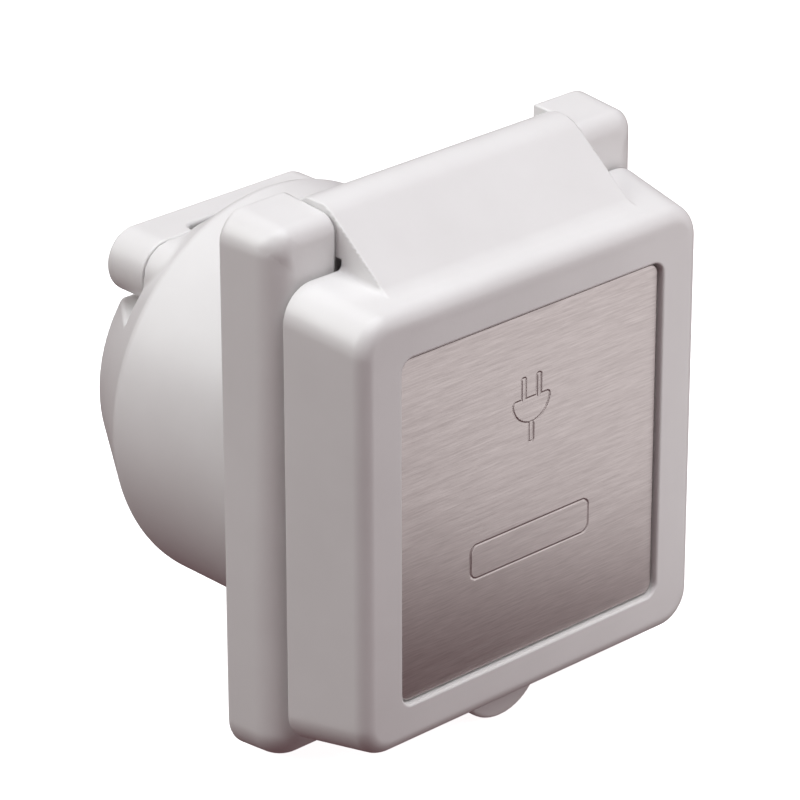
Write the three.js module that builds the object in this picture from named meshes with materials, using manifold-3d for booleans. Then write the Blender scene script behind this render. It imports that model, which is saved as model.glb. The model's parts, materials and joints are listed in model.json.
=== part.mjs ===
// A flanged power inlet that is set into a wall panel: a square front housing with a top-hinged
// lid over a three-blade plug well, and a round rear enclosure with a cord clamp for the cable.
//
// Frame, in millimetres: X to the right seen from the front, Y into the wall, Z up. The origin is
// on the axis of the round enclosure, in the flange's back face, which rests on the panel.

import * as THREE from "three";
import { mergeVertices } from "three/addons/utils/BufferGeometryUtils.js";
import Module from "manifold-3d";

// ---------------------------------------------------------------- driving dimensions

const GAP = 0.3; // left between pieces that touch
const WALL = 2.5; // moulded wall thickness
const ROUND_SIDES = 48; // sides of the large round parts

const flange = {
  halfWidth: 43.9, bottom: -45.75, top: 55.5, front: -12.9, corner: 6.2, edgeRound: 5, taper: 0.085,
};
const hinge = { y: -7.35, z: 48.65, barrel: 7.275, pin: 1.5, halfLength: 28.9, running: 0.2 };
const slot = { halfWidth: hinge.halfLength + GAP, radius: hinge.barrel + 0.6 };
const lid = {
  halfWidth: 39.7, bottom: -37.5, top: 43.05, front: -30.75, back: -13.7,
  corner: 6.4, edgeRound: 2.5, taper: 0.14, cavityFront: -26.5, rampFoot: -24.7,
};
const notch = { back: -11, top: 47 }; // clears the barrel's lower front, where it passes the ears
const recess = { halfWidth: 30.9, bottom: -29.8, top: 34.6, corner: 2.4, floor: -28.5 };
const plate = { inset: 0.5, front: -29.75, thickness: 0.95 };
const tab = { radius: 10, z: -35.8, front: -23.25, back: -19 };
const cup = { radius: 37.55, ridge: 36.4, endRadius: 26.7, end: 53.3 };
const clamp = {
  halfWidth: 24.4, bottom: 18, top: 30.3, corner: 6.1, seam: 43, back: 52.8, edgeRound: 0.4,
  screwX: 18, boss: 3.6, screwHole: 2, pocketFloor: 16.8,
};
const channel = { halfWidth: 11.7, front: 38.4, back: 46.2, corner: 2 };
const web = { front: -8.1, back: -6 }; // the flange's thin ring that the collar and the well meet on
const well = { radius: 25.3, floor: 8, floorThickness: 2.5, floorHole: 18.8 };
const sleeve = { outer: 34, back: 16 }; // round the well, inside the rear enclosure
const collar = { outer: 27, ridge: 28, front: -24.5, back: -9.6, ridges: 3, pitch: 3.2 };
const seal = { outer: 27.8, thickness: 0.9 };
const carrier = { front: 2.8, back: 20, boss: 18.5, chamfer: 0.6 };
const blade = { inner: 12.9, outer: 14.5, tip: -17.5, tail: 24, hook: 2.2 };
const lug = { inner: 9, outer: 18, halfWidth: 5, front: 20.4, back: 31.4, wireHole: 2.6, screwY: 28 };
const fixing = { x: 33, z: 33, hole: 2.4, head: 4.6, headDepth: 2.3 }; // holes for four wall screws
const gasket = { halfWidth: 40.4, bottom: -42, top: 39.9, hole: 38.6, corner: 4, thickness: 0.9 };
const rib = { inner: 30, outer: 31.4, height: 1.4 }; // in the lid, round its gasket
const lidRing = { inner: 24.6, outer: 29.6, thickness: 1.4 };

// Screws by head radius, head height and shank radius, with the posts or holes that take them.
const screws = {
  carrier: { head: 2.2, headHeight: 1.5, shank: 1.3, tip: 16, hole: 1.6, headHole: 2.6 },
  enclosure: { head: 3, headHeight: 1.9, shank: 1.5, tip: 20, hole: 1.9, headHole: 3.4 },
  clamp: { head: 3.6, headHeight: 2, shank: 1.7, tip: 33, hole: 2.2, headHole: 4 },
  terminal: { head: 3, headHeight: 2, shank: 1.5, hole: 1.8, stand: 2.3 },
};
const shortPost = { radius: 2.6, back: 17, hole: 1.6, holeFrom: 0 };
const longPost = { radius: 2.8, back: 30, hole: 1.8, holeFrom: 14 };
const postTube = 4.2; // in the rear enclosure, round each long post's screw
const screwCircle = 21.8; // radius on which the carrier's and the enclosure's screws stand
const carrierAngles = [0, 180]; // of the carrier's screws, from the top
const enclosureAngles = [-120, 120];

// The three contacts, by their angle from the top seen from the front and the arc they cover.
const contacts = [
  { name: "hot", angle: -60, arc: 40, hooked: false },
  { name: "neutral", angle: 60, arc: 50, hooked: false },
  { name: "ground", angle: 180, arc: 36, hooked: true },
];

// ---------------------------------------------------------------- solids

const wasm = await Module();
wasm.setup();

const radians = THREE.MathUtils.degToRad;

function solid(geometry) {
  const bare = geometry.clone();
  bare.deleteAttribute("normal");
  bare.deleteAttribute("uv");
  const merged = mergeVertices(bare, 1e-4);
  return new wasm.Manifold(
    new wasm.Mesh({
      numProp: 3,
      vertProperties: merged.attributes.position.array,
      triVerts: new Uint32Array(merged.index.array),
    }),
  );
}

function geometryOf(manifold) {
  const { vertProperties, triVerts } = manifold.getMesh();
  const geometry = new THREE.BufferGeometry();
  geometry.setAttribute("position", new THREE.BufferAttribute(vertProperties, 3));
  geometry.setIndex(new THREE.BufferAttribute(triVerts, 1));
  geometry.computeVertexNormals();
  return geometry;
}

const join = (first, ...others) => others.reduce((sum, other) => sum.add(other), first);
const cut = (first, ...tools) => tools.reduce((rest, tool) => rest.subtract(tool), first);

function block(x0, x1, y0, y1, z0, z1) {
  const box = new THREE.BoxGeometry(x1 - x0, y1 - y0, z1 - z0);
  return solid(box.translate((x0 + x1) / 2, (y0 + y1) / 2, (z0 + z1) / 2));
}

// A round bar or hole along Y.
function drum(radius, y0, y1, x = 0, z = 0, sides = 32) {
  const cylinder = new THREE.CylinderGeometry(radius, radius, y1 - y0, sides);
  return solid(cylinder.translate(x, (y0 + y1) / 2, z));
}

// A round bar or hole along X.
function rod(radius, x0, x1, y, z, sides = 40) {
  const cylinder = new THREE.CylinderGeometry(radius, radius, x1 - x0, sides);
  return solid(cylinder.rotateZ(Math.PI / 2).translate((x0 + x1) / 2, y, z));
}

// A solid of revolution about Y. The profile is a closed loop of [radius, y].
function turned(profile, sides = ROUND_SIDES) {
  const loop = profile.map(([r, y]) => new THREE.Vector2(r, y));
  if (THREE.ShapeUtils.area(loop) < 0) loop.reverse();
  loop.push(loop[0].clone());
  return solid(new THREE.LatheGeometry(loop, sides));
}

function roundedRectangle(x0, x1, z0, z1, r) {
  const shape = new THREE.Shape();
  shape.moveTo(x0 + r, z0);
  shape.lineTo(x1 - r, z0).absarc(x1 - r, z0 + r, r, -Math.PI / 2, 0);
  shape.lineTo(x1, z1 - r).absarc(x1 - r, z1 - r, r, 0, Math.PI / 2);
  shape.lineTo(x0 + r, z1).absarc(x0 + r, z1 - r, r, Math.PI / 2, Math.PI);
  shape.lineTo(x0, z0 + r).absarc(x0 + r, z0 + r, r, Math.PI, 1.5 * Math.PI);
  return shape;
}

// A slab along Y of an outline drawn in X and Z, with both its ends rounded over when asked.
function slabGeometry(shape, y0, y1, round = 0, curveSegments = 4) {
  const geometry = new THREE.ExtrudeGeometry(shape, {
    depth: y1 - y0 - 2 * round,
    bevelEnabled: round > 0,
    bevelThickness: round,
    bevelSize: round,
    bevelOffset: -round,
    bevelSegments: 3,
    curveSegments,
  });
  return geometry.rotateX(Math.PI / 2).translate(0, y1 - round, 0);
}

const slab = (...options) => solid(slabGeometry(...options));

// A slab along Y of a rounded rectangle, rounded over at its front end only. Its sides lean outwards
// to the back by taper, and the rectangle's own size holds at the plane sizeY.
function leaningSlab({ halfWidth, bottom, top, corner, edgeRound, taper }, y0, y1, sizeY) {
  const outline = roundedRectangle(-halfWidth, halfWidth, bottom, top, corner);
  const geometry = slabGeometry(outline, y0, y1 + 2 * edgeRound, edgeRound);
  const middle = (bottom + top) / 2;
  const places = geometry.attributes.position;
  for (let i = 0; i < places.count; i++) {
    const outwards = taper * (places.getY(i) - sizeY);
    places.setX(i, places.getX(i) + Math.sign(places.getX(i)) * outwards);
    places.setZ(i, places.getZ(i) + Math.sign(places.getZ(i) - middle) * outwards);
  }
  return cut(solid(geometry), block(-100, 100, y1, y1 + 3 * edgeRound, -100, 100));
}

// A bar along X of an outline drawn in Y and Z.
function bar(shape, x0, x1, curveSegments = 12) {
  const geometry = new THREE.ExtrudeGeometry(shape, { depth: x1 - x0, bevelEnabled: false, curveSegments });
  const turn = new THREE.Matrix4().makeBasis(
    new THREE.Vector3(0, 1, 0),
    new THREE.Vector3(0, 0, 1),
    new THREE.Vector3(1, 0, 0),
  );
  return solid(geometry.applyMatrix4(turn).translate(x0, 0, 0));
}

// A point on a circle about the well's axis, at an angle from the top.
const onCircle = (radius, angle) => [radius * Math.sin(radians(angle)), radius * Math.cos(radians(angle))];

// Turns what is drawn along +Z, the top, round to an angle from the top.
const turnedTo = (geometry, angle) => geometry.rotateY(radians(angle));

// ---------------------------------------------------------------- finishes

const finish = (color, roughness, metalness = 0) =>
  new THREE.MeshStandardMaterial({ color, roughness, metalness });

const whitePlastic = () => finish(0xe9e7e6, 0.35);
const greyNylon = () => finish(0xd6d6d2, 0.5);
const brushedSteel = () => finish(0xaba29f, 0.35, 1);
const screwSteel = () => finish(0xc4c6c8, 0.3, 1);
const brass = () => finish(0xc9a24f, 0.3, 1);
const greenBrass = () => finish(0x3f7d4a, 0.4, 0.6);
const blackRubber = () => finish(0x26262a, 0.8);

// ---------------------------------------------------------------- front housing

// The two ears stand either side of a slot for the lid's barrel, with a floor hollowed round the pin.
function hingeSlot() {
  const above = block(-slot.halfWidth, slot.halfWidth, flange.front - 1, 1, hinge.z, flange.top + 1);
  return join(rod(slot.radius, -slot.halfWidth, slot.halfWidth, hinge.y, hinge.z, 48), above);
}

function gasketOutline(grow) {
  const { halfWidth, bottom, top, corner } = gasket;
  return roundedRectangle(-halfWidth - grow, halfWidth + grow, bottom - grow, top + grow, corner);
}

function gasketPocket() {
  const pocket = slab(gasketOutline(GAP), -gasket.thickness - GAP, 1);
  return cut(pocket, drum(gasket.hole - GAP, -5, 5, 0, 0, ROUND_SIDES));
}

// Copies of a piece at the flange's four fixing holes.
function atFixings(make) {
  const places = [[-1, -1], [1, -1], [1, 1], [-1, 1]];
  return places.map(([sideX, sideZ]) => make(sideX * fixing.x, sideZ * fixing.z));
}

const fixingHoles = (radius, y0, y1) => atFixings((x, z) => drum(radius, y0, y1, x, z, 20));

function countersinks() {
  const { hole, head, headDepth } = fixing;
  return atFixings((x, z) => {
    const cone = new THREE.CylinderGeometry(hole, head, headDepth + 0.01, 20);
    return solid(cone.translate(x, flange.front + headDepth / 2, z));
  });
}

function frontHousing() {
  return cut(
    leaningSlab(flange, flange.front, 0, 0),
    hingeSlot(),
    drum(well.radius, -20, 1, 0, 0, ROUND_SIDES),
    drum(collar.ridge + GAP, -20, web.front, 0, 0, ROUND_SIDES),
    drum(sleeve.outer + GAP, web.back, 1, 0, 0, ROUND_SIDES),
    gasketPocket(),
    rod(hinge.pin + hinge.running, -37.5, 50, hinge.y, hinge.z, 24),
    ...fixingHoles(fixing.hole, -20, 5),
    ...countersinks(),
  );
}

function panelGasket() {
  const sheet = cut(slab(gasketOutline(0), -gasket.thickness, 0), drum(gasket.hole, -5, 5, 0, 0, ROUND_SIDES));
  return cut(sheet, ...fixingHoles(fixing.hole + 0.3, -5, 5));
}

// ---------------------------------------------------------------- plug well

const tubes = (angles, radius, y0, y1, sides = 20) =>
  angles.map((angle) => drum(radius, y0, y1, ...onCircle(screwCircle, angle), sides));

// The insulating cup that the plug goes into, with a sleeve round it. Posts behind its floor take
// the screws: two short ones hold the carrier, two long ones the rear enclosure.
function plugWell() {
  const front = web.back + GAP;
  const outer = well.radius + WALL;
  const inSleeve = sleeve.outer - WALL;
  const end = well.floor + well.floorThickness;
  const cupAndSleeve = turned([[well.floorHole, well.floor], [well.radius, well.floor], [well.radius, front],
    [sleeve.outer, front], [sleeve.outer, sleeve.back], [inSleeve, sleeve.back], [inSleeve, front + WALL],
    [outer, front + WALL], [outer, end], [well.floorHole, end]]);
  const inFloor = well.floor + 1;
  return cut(
    join(
      cupAndSleeve,
      ...tubes(carrierAngles, shortPost.radius, inFloor, shortPost.back),
      ...tubes(enclosureAngles, longPost.radius, inFloor, longPost.back),
    ),
    ...tubes(carrierAngles, shortPost.hole, shortPost.holeFrom, shortPost.back + 1, 16),
    ...tubes(enclosureAngles, longPost.hole, longPost.holeFrom, longPost.back + 1, 16),
  );
}

// The collar stands out of the flange into the lid, with ridges that a plug's ring screws over.
function threadedCollar() {
  const profile = [[well.radius, collar.back], [well.radius, collar.front + 0.8],
    [well.radius + 0.6, collar.front], [collar.outer - 0.3, collar.front]];
  for (let i = 0; i < collar.ridges; i++) {
    const y = collar.front + 0.9 + i * collar.pitch;
    profile.push([collar.outer, y], [collar.ridge, y + 0.7], [collar.ridge, y + 1.1], [collar.outer, y + 1.8]);
  }
  profile.push([collar.outer, collar.back]);
  return turned(profile);
}

function collarSeal() {
  const inner = well.radius + GAP;
  const y0 = collar.back + GAP;
  const y1 = y0 + seal.thickness;
  return turned([[inner, y0], [seal.outer, y0], [seal.outer, y1], [inner, y1]]);
}

// The outline of a curved blade at the top of the well, grown all round for the slot it stands in.
function bladeOutline({ arc, hooked }, grow = 0) {
  const inner = blade.inner - grow;
  const outer = blade.outer + grow;
  const half = radians(arc / 2) + grow / blade.inner;
  const top = Math.PI / 2;
  const shape = new THREE.Shape();
  shape.absarc(0, 0, outer, top - half, top + half, false);
  if (hooked) {
    const end = top + half;
    const back = end - (blade.outer - blade.inner + 2 * grow) / inner;
    const low = inner - blade.hook;
    shape.lineTo(low * Math.cos(end), low * Math.sin(end));
    shape.lineTo(low * Math.cos(back), low * Math.sin(back));
    shape.absarc(0, 0, inner, back, top - half, true);
  } else {
    shape.absarc(0, 0, inner, top + half, top - half, true);
  }
  return shape;
}

// A blade drawn in X and Z is turned about Y, so its angle from the top runs the same way.
function bladeSolid(contact, grow, y0, y1) {
  return solid(turnedTo(slabGeometry(bladeOutline(contact, grow), y0, y1), contact.angle));
}

function contactCarrier() {
  const { front, back, boss, chamfer } = carrier;
  const rim = well.radius - GAP;
  const seat = well.floor - GAP;
  const body = turned([[0, front], [rim - chamfer, front], [rim, front + chamfer], [rim, seat],
    [boss, seat], [boss, back], [0, back]]);
  return cut(
    body,
    ...contacts.map((contact) => bladeSolid(contact, GAP, front - 1, back + 1)),
    ...tubes(carrierAngles, screws.carrier.hole, 0, 10, 16),
    ...tubes(carrierAngles, screws.carrier.headHole, front - 1, front + screws.carrier.headHeight + 0.4),
  );
}

const contactBlade = (contact) => bladeSolid(contact, 0, blade.tip, blade.tail);

// A screw along Y with a slotted round head. Its head's outer face is at headY, on the side away
// from the shank, which runs to tipY.
function screwAlongY({ head, headHeight, shank }, headY, tipY, x, z) {
  const away = Math.sign(headY - tipY);
  const under = headY - away * headHeight;
  const inHead = under + away * 0.2;
  const slotFloor = headY - away * headHeight * 0.45;
  const along = (radius, yA, yB, sides) => drum(radius, Math.min(yA, yB), Math.max(yA, yB), x, z, sides);
  const groove = new THREE.BoxGeometry(2 * head + 2, 1, 1).translate(x, slotFloor + away / 2, z);
  return cut(join(along(head, headY, under, 24), along(shank, inHead, tipY, 16)), solid(groove));
}

function carrierScrew(angle) {
  return screwAlongY(screws.carrier, carrier.front + 0.1, screws.carrier.tip, ...onCircle(screwCircle, angle));
}

// ---------------------------------------------------------------- terminals

const bladeMiddle = (blade.inner + blade.outer) / 2;

// A bar or hole that points at the axis from outside, over the lug's screw.
function radialDrum(radius, inner, outer, sides) {
  const cylinder = new THREE.CylinderGeometry(radius, radius, outer - inner, sides).rotateX(Math.PI / 2);
  return cylinder.translate(0, lug.screwY, (inner + outer) / 2);
}

// A box lug behind the carrier: the blade's tail enters it from the front and the wire from behind.
function terminalLug(contact) {
  const box = new THREE.BoxGeometry(2 * lug.halfWidth, lug.back - lug.front, lug.outer - lug.inner);
  box.translate(0, (lug.front + lug.back) / 2, (lug.inner + lug.outer) / 2);
  const wireDepth = 6.5;
  const wireHole = new THREE.CylinderGeometry(lug.wireHole, lug.wireHole, 2 * wireDepth, 24);
  wireHole.translate(0, lug.back, bladeMiddle);
  const screwHole = radialDrum(screws.terminal.hole, bladeMiddle, lug.outer + 2, 16);
  return cut(
    solid(turnedTo(box, contact.angle)),
    solid(turnedTo(wireHole, contact.angle)),
    solid(turnedTo(screwHole, contact.angle)),
    bladeSolid(contact, GAP, lug.front - 1, blade.tail + GAP),
  );
}

// The screw points at the well's axis and bears on the wire.
function terminalScrew(contact) {
  const { head, headHeight, shank, stand } = screws.terminal;
  const top = lug.outer + stand;
  const under = top - headHeight;
  const headSolid = solid(turnedTo(radialDrum(head, under, top, 24), contact.angle));
  const shankSolid = solid(turnedTo(radialDrum(shank, under - 3.8, under + 0.2, 16), contact.angle));
  const groove = new THREE.BoxGeometry(2 * head + 2, 0.9, 1.8).translate(0, lug.screwY, top);
  return cut(join(headSolid, shankSolid), solid(turnedTo(groove, contact.angle)));
}

// ---------------------------------------------------------------- rear enclosure and cord clamp

const clampMiddle = (clamp.top + clamp.bottom) / 2;

function clampOutline() {
  return roundedRectangle(-clamp.halfWidth, clamp.halfWidth, clamp.bottom, clamp.top, clamp.corner);
}

function cableChannel() {
  const { halfWidth, front, back, corner } = channel;
  return slab(roundedRectangle(-halfWidth, halfWidth, clamp.pocketFloor - WALL - 3, 60, corner), front, back);
}

const bothSides = (make) => [-1, 1].map((side) => make(side * clamp.screwX));

function rearEnclosure() {
  const { radius, ridge, endRadius, end } = cup;
  const inner = radius - WALL;
  const innerEnd = end - WALL;
  const outside = turned([[0, GAP], [radius, GAP], [radius, ridge - 0.5], [radius - 0.4, ridge + 0.4],
    [endRadius + 0.6, end - 1], [endRadius - 0.6, end], [0, end]], 64);
  const hollow = turned([[0, -1], [inner, -1], [inner, ridge - 1.2], [endRadius - 1.8, innerEnd],
    [0, innerEnd]]);
  const pocket = block(-60, 60, clamp.seam, 60, clamp.pocketFloor, 60);
  const pocketWall = block(-60, 60, clamp.seam - WALL, 60, clamp.pocketFloor - WALL, 60);
  const shell = cut(
    join(cut(outside, pocket), slab(clampOutline(), ridge - 2, clamp.seam, 0, 10)),
    cut(hollow, pocketWall),
  );
  return cut(
    join(
      shell,
      ...bothSides((x) => drum(clamp.boss, 30, clamp.seam - 1, x, clampMiddle, 24)),
      ...tubes(enclosureAngles, postTube, longPost.back + 0.5, end - 1, 24),
    ),
    cableChannel(),
    ...bothSides((x) => drum(clamp.screwHole, 31, 50, x, clampMiddle, 16)),
    ...tubes(enclosureAngles, screws.enclosure.hole, longPost.back, 60, 16),
    ...tubes(enclosureAngles, screws.enclosure.headHole, end - 3, 60, 24),
  );
}

function cordClampBar() {
  const { hole, headHole } = screws.clamp;
  return cut(
    slab(clampOutline(), clamp.seam + GAP, clamp.back, clamp.edgeRound, 10),
    cableChannel(),
    ...bothSides((x) => drum(hole, 40, 60, x, clampMiddle, 20)),
    ...bothSides((x) => drum(headHole, clamp.back - 2.8, 60, x, clampMiddle, 24)),
  );
}

function clampScrew(side) {
  return screwAlongY(screws.clamp, clamp.back - 0.4, screws.clamp.tip, side * clamp.screwX, clampMiddle);
}

function enclosureScrew(angle) {
  return screwAlongY(screws.enclosure, cup.end - 0.7, screws.enclosure.tip, ...onCircle(screwCircle, angle));
}

// ---------------------------------------------------------------- lid

// Side outline of the hinge: a ramp up from the lid's top, tangent to the barrel round the pin.
function hingeOutline() {
  const foot = new THREE.Vector2(lid.rampFoot, lid.top + lid.taper * (lid.rampFoot - lid.front));
  const pin = new THREE.Vector2(hinge.y, hinge.z);
  const toPin = pin.clone().sub(foot);
  const touch = toPin.angle() + Math.asin(hinge.barrel / toPin.length()) + Math.PI / 2;
  const meet = Math.PI + Math.acos((hinge.y - lid.back) / hinge.barrel);
  const shape = new THREE.Shape();
  shape.moveTo(foot.x, foot.y);
  shape.absarc(pin.x, pin.y, hinge.barrel, touch, meet - 2 * Math.PI, true);
  shape.lineTo(lid.back, lid.top - 2);
  shape.lineTo(foot.x, lid.top - 2);
  return shape;
}

function hingeBar() {
  const whole = bar(hingeOutline(), -hinge.halfLength, hinge.halfLength);
  const clearance = block(-slot.halfWidth, slot.halfWidth, lid.back, notch.back, hinge.z - 10, notch.top);
  return cut(whole, clearance);
}

function lidHollow() {
  const inside = {
    halfWidth: lid.halfWidth - WALL, bottom: lid.bottom + WALL, top: lid.top - WALL,
    corner: lid.corner - WALL, edgeRound: 1, taper: lid.taper,
  };
  return leaningSlab(inside, lid.cavityFront, lid.back + 1, lid.front);
}

function thumbTab() {
  const disc = drum(tab.radius, tab.front, tab.back, 0, tab.z, 40);
  return cut(disc, block(-20, 20, -40, 0, lid.bottom + 1, 0));
}

// The outline of the lid's front recess, or of the plate in it.
function recessOutline(inset = 0) {
  const { halfWidth, bottom, top, corner } = recess;
  return roundedRectangle(-halfWidth + inset, halfWidth - inset, bottom + inset, top - inset, corner - inset);
}

function lidCover() {
  const ribFoot = lid.cavityFront - 1;
  const ribTop = lid.cavityFront + rib.height;
  const gasketRib = turned([[rib.inner, ribFoot], [rib.outer, ribFoot], [rib.outer, ribTop],
    [rib.inner, ribTop]]);
  const shell = cut(
    join(leaningSlab(lid, lid.front, lid.back, lid.front), hingeBar(), thumbTab()),
    lidHollow(),
    slab(recessOutline(), lid.front - 1, recess.floor),
  );
  return cut(join(shell, gasketRib), rod(hinge.pin + hinge.running, -50, 50, hinge.y, hinge.z, 24));
}

function trimPlate() {
  return slab(recessOutline(plate.inset), plate.front, plate.front + plate.thickness);
}

function lidGasket() {
  const { inner, outer, thickness } = lidRing;
  const y0 = lid.cavityFront + GAP;
  const y1 = y0 + thickness;
  return turned([[inner, y0], [outer, y0], [outer, y1], [inner, y1]]);
}

const hingePin = () => rod(hinge.pin, -37, flange.halfWidth - 1.2, hinge.y, hinge.z, 24);

// ---------------------------------------------------------------- assembly

function piece(name, manifold, material) {
  const mesh = new THREE.Mesh(geometryOf(manifold), material);
  mesh.name = name;
  return mesh;
}

const inlet = new THREE.Group();
inlet.add(
  piece("front_housing", frontHousing(), whitePlastic()),
  piece("panel_gasket", panelGasket(), blackRubber()),
  piece("plug_well", plugWell(), whitePlastic()),
  piece("threaded_collar", threadedCollar(), brushedSteel()),
  piece("collar_seal", collarSeal(), blackRubber()),
  piece("contact_carrier", contactCarrier(), greyNylon()),
  piece("carrier_screw_top", carrierScrew(carrierAngles[0]), screwSteel()),
  piece("carrier_screw_bottom", carrierScrew(carrierAngles[1]), screwSteel()),
  piece("rear_enclosure", rearEnclosure(), whitePlastic()),
  piece("enclosure_screw_left", enclosureScrew(enclosureAngles[0]), screwSteel()),
  piece("enclosure_screw_right", enclosureScrew(enclosureAngles[1]), screwSteel()),
  piece("hinge_pin", hingePin(), screwSteel()),
);

for (const contact of contacts) {
  const screwFinish = { hot: brass, neutral: screwSteel, ground: greenBrass }[contact.name];
  inlet.add(
    piece("blade_" + contact.name, contactBlade(contact), brass()),
    piece("terminal_lug_" + contact.name, terminalLug(contact), brass()),
    piece("terminal_screw_" + contact.name, terminalScrew(contact), screwFinish()),
  );
}

const cordClamp = new THREE.Group();
cordClamp.add(
  piece("cord_clamp_bar", cordClampBar(), whitePlastic()),
  piece("clamp_screw_left", clampScrew(-1), screwSteel()),
  piece("clamp_screw_right", clampScrew(1), screwSteel()),
);

const cover = new THREE.Group();
cover.add(
  piece("lid", lidCover(), whitePlastic()),
  piece("trim_plate", trimPlate(), brushedSteel()),
  piece("lid_gasket", lidGasket(), blackRubber()),
);

const group = new THREE.Group();
group.add(inlet, cordClamp, cover);

export default group;
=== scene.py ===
"""A white flanged power inlet with a top-hinged lid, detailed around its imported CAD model.

Every moulded piece is the zero surface of a signed distance field. A field is negative inside the
piece and is written in millimetres in the model's frame: X right, Y into the wall, Z up. Meshes are
in metres.
"""

import json
import math
from types import SimpleNamespace as Sizes

import bpy
import numpy as np
import openvdb
from mathutils import Matrix, Vector

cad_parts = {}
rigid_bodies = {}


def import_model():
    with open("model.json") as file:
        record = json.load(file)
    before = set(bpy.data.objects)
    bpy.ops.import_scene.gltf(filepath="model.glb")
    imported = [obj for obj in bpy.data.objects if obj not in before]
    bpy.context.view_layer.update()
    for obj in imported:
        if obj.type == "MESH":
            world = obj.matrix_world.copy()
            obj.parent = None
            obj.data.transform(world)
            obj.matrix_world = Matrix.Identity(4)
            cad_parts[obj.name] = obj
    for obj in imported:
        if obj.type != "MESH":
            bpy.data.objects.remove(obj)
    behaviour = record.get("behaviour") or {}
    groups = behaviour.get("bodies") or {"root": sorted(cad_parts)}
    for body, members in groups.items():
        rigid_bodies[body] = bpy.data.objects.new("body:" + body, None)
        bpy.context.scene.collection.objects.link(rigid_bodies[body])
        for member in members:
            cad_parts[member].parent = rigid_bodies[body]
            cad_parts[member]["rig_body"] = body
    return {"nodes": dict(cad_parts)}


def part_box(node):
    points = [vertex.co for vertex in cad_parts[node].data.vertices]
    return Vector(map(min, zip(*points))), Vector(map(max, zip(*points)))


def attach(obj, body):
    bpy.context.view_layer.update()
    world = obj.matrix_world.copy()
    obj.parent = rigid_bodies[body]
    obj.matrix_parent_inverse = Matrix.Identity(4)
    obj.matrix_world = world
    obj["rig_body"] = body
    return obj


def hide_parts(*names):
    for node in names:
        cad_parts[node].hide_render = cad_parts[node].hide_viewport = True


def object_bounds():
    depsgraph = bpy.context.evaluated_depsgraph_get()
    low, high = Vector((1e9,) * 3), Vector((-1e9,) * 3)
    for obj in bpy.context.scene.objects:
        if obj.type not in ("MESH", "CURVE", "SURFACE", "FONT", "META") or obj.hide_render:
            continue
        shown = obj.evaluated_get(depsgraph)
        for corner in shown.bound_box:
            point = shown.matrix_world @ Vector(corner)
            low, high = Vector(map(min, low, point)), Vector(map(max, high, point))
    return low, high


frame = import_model()
cad_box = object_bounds()

# ---------------------------------------------------------------- driving dimensions, in mm
# Half widths are along X, fronts and backs along Y, bottoms and tops along Z, and radii about the
# axis of the well, Y, or of the thing itself. Y grows into the wall: a front is less than its back.

MM = 0.001
WALL = 2.5
EDGE = 0.4  # rounding of the plug well's edges
GAP = 0.3  # clearance between pieces

flange = Sizes(half_width=43.9, bottom=-45.75, top=55.5, front=-12.9, top_corner=5.6, low_corner=6.8,
               side_edge=4.8, top_edge=3, low_edge=6.4, taper=0.085)
hinge = Sizes(y=-7.35, z=48.65, barrel=7.275, bore=1.7, pin=1.5, pin_start=-37, pin_end=42.7,
              half_length=28.9)
slot = Sizes(half_width=hinge.half_length + GAP, radius=hinge.barrel + 2 * GAP)
lid = Sizes(half_width=39.7, bottom=-37.5, top=43.05, front=-30.75, back=-13.7, corner=6.4, edge=2.5,
            taper=0.14, cavity=-26.5, ramp_foot=-24.7)
lid_rib = Sizes(inner=30, outer=31.4, height=1.4)
lid_seal = Sizes(inner=24.6, outer=29.6, thickness=1.4)
notch = Sizes(back=-11, top=47)  # under the ramp, where it passes the flange's front
recess = Sizes(half_width=30.9, bottom=-29.8, top=34.6, corner=2.4, floor=-28.5)
plate = Sizes(inset=0.5, front=-29.75, thickness=0.95)
engraved = Sizes(depth=0.12, half_line=0.28)
label = Sizes(half_width=14.2, bottom=-11.8, top=-5.4, corner=1.6)
emblem = Sizes(z=18, body=4.4, prong_inner=1.3, prong_outer=2.3, prong_top=4.2, lead=0.5, lead_end=-8)
tab = Sizes(radius=10, z=-35.8, front=-23.25, back=-19)  # for the thumb, under the lid
cup = Sizes(radius=37.55, ridge=36.4, end_radius=26.7, end=53.3, front=0.3)  # the rear enclosure
clamp = Sizes(half_width=24.4, bottom=18, top=30.3, corner=6.1, seam=43, back=52.8, pocket=16.8,
              screw_x=18, hole=2.2, head=4, head_depth=2.8)
clamp_tube = Sizes(radius=3.6, front=30, bore=2, bore_front=31)
end_tube = Sizes(radius=4.2, front=30.5, bore=1.9, bore_front=30, head=3.4, head_depth=3)
channel = Sizes(half_width=11.7, front=38.4, back=46.2, corner=2, floor=11.3)  # for the cable
web = Sizes(front=-8.1, back=-6)  # the housing's thin ring behind the collar and its seal
well = Sizes(radius=25.3, floor=8, floor_thickness=2.5, floor_hole=18.8)
sleeve = Sizes(outer=34, back=16)
collar = Sizes(outer=27, ridge=28, front=-24.5, back=-9.6, pitch=3.2, turns=3.2)
carrier = Sizes(front=2.8, back=20, boss=18.5, groove_inner=19.4, groove_outer=24.2, groove_depth=0.5,
                hole=1.6, head=2.6, head_depth=1.9)
blade = Sizes(inner=12.9, outer=14.5, tip=-17.5, tail=24, hook=2.2)
lug = Sizes(inner=9, outer=18, half_width=5, front=20.4, back=31.4, wire_hole=2.6, wire_depth=6.5,
            screw_y=28, screw_hole=1.8)
fixing = Sizes(x=33, z=33, hole=2.4, head=4.6, depth=2.3)  # holes for the wall screws
gasket = Sizes(half_width=40.4, bottom=-42, top=39.9, corner=4, hole=38.6, thickness=0.9)

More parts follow.
